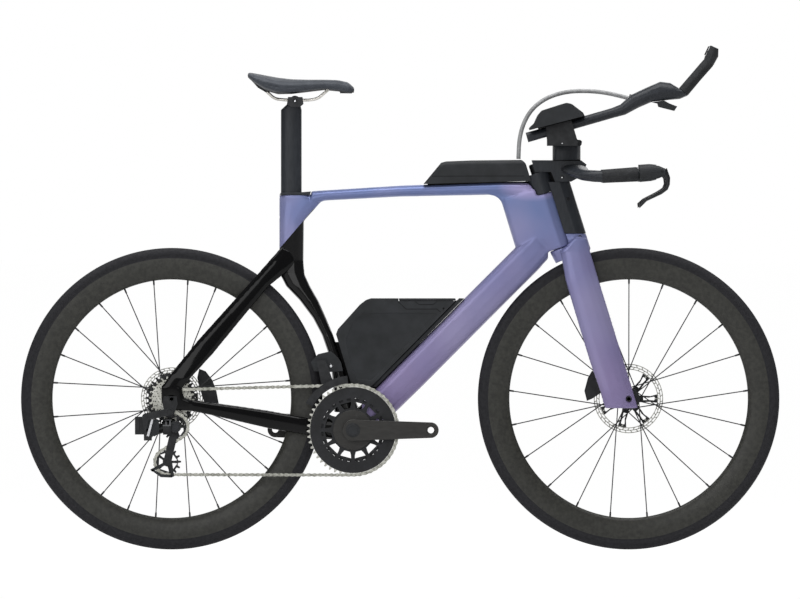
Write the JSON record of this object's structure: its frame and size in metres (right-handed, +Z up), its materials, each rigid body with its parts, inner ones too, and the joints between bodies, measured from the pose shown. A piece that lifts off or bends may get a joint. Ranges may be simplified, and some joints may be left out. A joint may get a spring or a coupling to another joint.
{
  "type": "time trial bike",
  "caption": "Racing bicycle for solo timed rides, with a low base bar, forearm extensions, deep-section wheels, disc brakes, boxes on the frame, and no pedals fitted.",
  "frame": {"origin": "on the ground, midway between the two axles, in the bicycle's centre plane", "axes": "+X forward, +Y to the rider's left, +Z up"},
  "size_m": [1.7048, 0.4324, 1.1329],
  "materials": {
    "lavender_paint": "satin violet-blue paint over moulded carbon fibre",
    "black_paint": "gloss black paint over moulded carbon fibre",
    "black_steel": "blackened steel",
    "black_carbon": "satin black moulded carbon fibre",
    "rim_carbon": "satin black moulded rim",
    "tyre": "matt black rubber",
    "cover": "dark grey synthetic cover over foam",
    "foam": "black foam pad",
    "grip": "matt black grip",
    "anodised": "black anodised",
    "silver": "machined",
    "steel": "polished steel",
    "box_plastic": "matt black",
    "hose_plastic": "pale grey translucent hose"
  },
  "bodies": {
    "frame": {"frame": "lavender_paint", "rear_stays": "black_paint", "seat_collar": "black_carbon", "frame_bearings": "silver", "rear_caliper": "anodised", "front_mech_body": "anodised", "box_cradle": "box_plastic", "storage_box": "box_plastic", "top_box": "box_plastic", "derailleur_hanger": "anodised", "rear_axle": "anodised", "rear_mech_upper_knuckle": "anodised", "drink_hose": "hose_plastic", "chain": "steel"},
    "seatpost": {"seatpost": "black_carbon"},
    "saddle": {"saddle_clamp": "anodised", "saddle_rails": "silver", "saddle_shell": "black_carbon", "saddle_cover": "cover"},
    "steering": {"fork": "lavender_paint", "front_steerer": "black_carbon", "headset_cover": "black_carbon", "base_bar": "black_carbon", "grips": "grip", "lever_bodies": "grip", "risers": "black_carbon", "extension_clamp": "black_carbon", "arm_cups": "black_carbon", "arm_pads": "foam", "extensions": "black_carbon", "shifter_pods": "grip", "computer_mount": "box_plastic", "front_caliper": "anodised", "front_axle": "anodised"},
    "brake_lever_right": {"brake_lever_right": "anodised"},
    "brake_lever_left": {"brake_lever_left": "anodised"},
    "shift_button_right": {"shift_button_right": "grip"},
    "shift_button_left": {"shift_button_left": "grip"},
    "front_wheel": {"front_tyre": "tyre", "front_rim": "rim_carbon", "front_spokes": "black_steel", "front_hub": "anodised", "front_rotor": "steel"},
    "rear_wheel": {"rear_tyre": "tyre", "rear_rim": "rim_carbon", "rear_spokes": "black_steel", "rear_hub": "anodised", "rear_rotor": "steel"},
    "cassette": {"cassette": "steel"},
    "crankset": {"crank_right": "black_carbon", "crank_left": "black_carbon", "chainrings": "steel"},
    "rear_mech_outer_link": {"rear_mech_outer_link": "anodised"},
    "rear_mech_inner_link": {"rear_mech_inner_link": "anodised"},
    "rear_mech_lower_knuckle": {"rear_mech_lower_knuckle": "anodised"},
    "rear_mech_cage": {"rear_mech_cage": "anodised"},
    "guide_pulley": {"guide_pulley": "anodised"},
    "tension_pulley": {"tension_pulley": "anodised"},
    "front_mech_cage": {"front_mech_cage": "steel"},
    "storage_lid": {"storage_lid": "box_plastic"}
  },
  "joints": [
    {"name": "steering_turn", "type": "hinge", "parent": "frame", "child": "steering", "pos_m": [0.47244, 0, 0.32607], "axis": [-0.3007, 0, 0.9537], "range_deg": [-35, 35], "deforming": ["drink_hose"]},
    {"name": "front_wheel_spin", "type": "hinge", "parent": "steering", "child": "front_wheel", "pos_m": [0.51345, 0, 0.339], "axis": [0, 1, 0], "continuous": true},
    {"name": "rear_wheel_spin", "type": "hinge", "parent": "frame", "child": "rear_wheel", "pos_m": [-0.51345, 0, 0.339], "axis": [0, 1, 0], "continuous": true},
    {"name": "crank_turn", "type": "hinge", "parent": "frame", "child": "crankset", "pos_m": [-0.10611, 0, 0.269], "axis": [0, 1, 0], "continuous": true, "deforming": ["chain"]},
    {"name": "cassette_spin", "type": "hinge", "parent": "frame", "child": "cassette", "pos_m": [-0.51345, 0, 0.339], "axis": [0, 1, 0], "continuous": true},
    {"name": "rear_mech_outer_swing", "type": "hinge", "parent": "frame", "child": "rear_mech_outer_link", "pos_m": [-0.56453, -0.0823, 0.26848], "axis": [0, 0.6428, 0.766], "range_deg": [0, 76]},
    {"name": "rear_mech_inner_swing", "type": "hinge", "parent": "frame", "child": "rear_mech_inner_link", "pos_m": [-0.56453, -0.07005, 0.25819], "axis": [0, 0.6428, 0.766], "range_deg": [0, 76]},
    {"name": "rear_mech_level", "type": "hinge", "parent": "rear_mech_outer_link", "child": "rear_mech_lower_knuckle", "pos_m": [-0.52568, -0.09813, 0.28175], "axis": [0, 0.6428, 0.766], "range_deg": [-76, 0]},
    {"name": "cage_swing", "type": "hinge", "parent": "rear_mech_lower_knuckle", "child": "rear_mech_cage", "pos_m": [-0.50468, 0, 0.27661], "axis": [0, 1, 0], "range_deg": [-50, 12], "stiffness_Nm_per_rad": 0.3},
    {"name": "guide_pulley_spin", "type": "hinge", "parent": "rear_mech_cage", "child": "guide_pulley", "pos_m": [-0.50468, 0, 0.27661], "axis": [0, 1, 0], "continuous": true},
    {"name": "tension_pulley_spin", "type": "hinge", "parent": "rear_mech_cage", "child": "tension_pulley", "pos_m": [-0.52305, 0, 0.19772], "axis": [0, 1, 0], "continuous": true},
    {"name": "front_mech_shift", "type": "slide", "parent": "frame", "child": "front_mech_cage", "axis": [0, 1, 0], "range_m": [0, 0.007]},
    {"name": "brake_lever_right_pull", "type": "hinge", "parent": "steering", "child": "brake_lever_right", "pos_m": [0.5874, -0.2, 0.84975], "axis": [0, 1, 0], "range_deg": [0, 18], "stiffness_Nm_per_rad": 1.5},
    {"name": "brake_lever_left_pull", "type": "hinge", "parent": "steering", "child": "brake_lever_left", "pos_m": [0.5874, 0.2, 0.84975], "axis": [0, 1, 0], "range_deg": [0, 18], "stiffness_Nm_per_rad": 1.5},
    {"name": "shift_button_right_press", "type": "slide", "parent": "steering", "child": "shift_button_right", "axis": [0.9086, 0, -0.4177], "range_m": [0, 0.0015], "stiffness_N_per_m": 1500},
    {"name": "shift_button_left_press", "type": "slide", "parent": "steering", "child": "shift_button_left", "axis": [0.9086, 0, -0.4177], "range_m": [0, 0.0015], "stiffness_N_per_m": 1500},
    {"name": "seatpost_height", "type": "slide", "parent": "frame", "child": "seatpost", "axis": [0, 0, 1], "range_m": [-0.055, 0.04]},
    {"name": "saddle_tilt", "type": "hinge", "parent": "seatpost", "child": "saddle", "pos_m": [-0.23649, 0, 1.00823], "axis": [0, 1, 0], "range_deg": [-10, 10]},
    {"name": "storage_lid_open", "type": "hinge", "parent": "frame", "child": "storage_lid", "pos_m": [0.12229, 0, 0.56223], "axis": [0, 1, 0], "range_deg": [0, 70]}
  ],
  "couplings": [
    {"joint": "cassette_spin", "follows": "crank_turn", "ratio": 5},
    {"joint": "guide_pulley_spin", "follows": "crank_turn", "ratio": -3.5714},
    {"joint": "tension_pulley_spin", "follows": "crank_turn", "ratio": 3.5714},
    {"joint": "rear_mech_inner_swing", "follows": "rear_mech_outer_swing", "ratio": 1},
    {"joint": "rear_mech_level", "follows": "rear_mech_outer_swing", "ratio": -1}
  ]
}
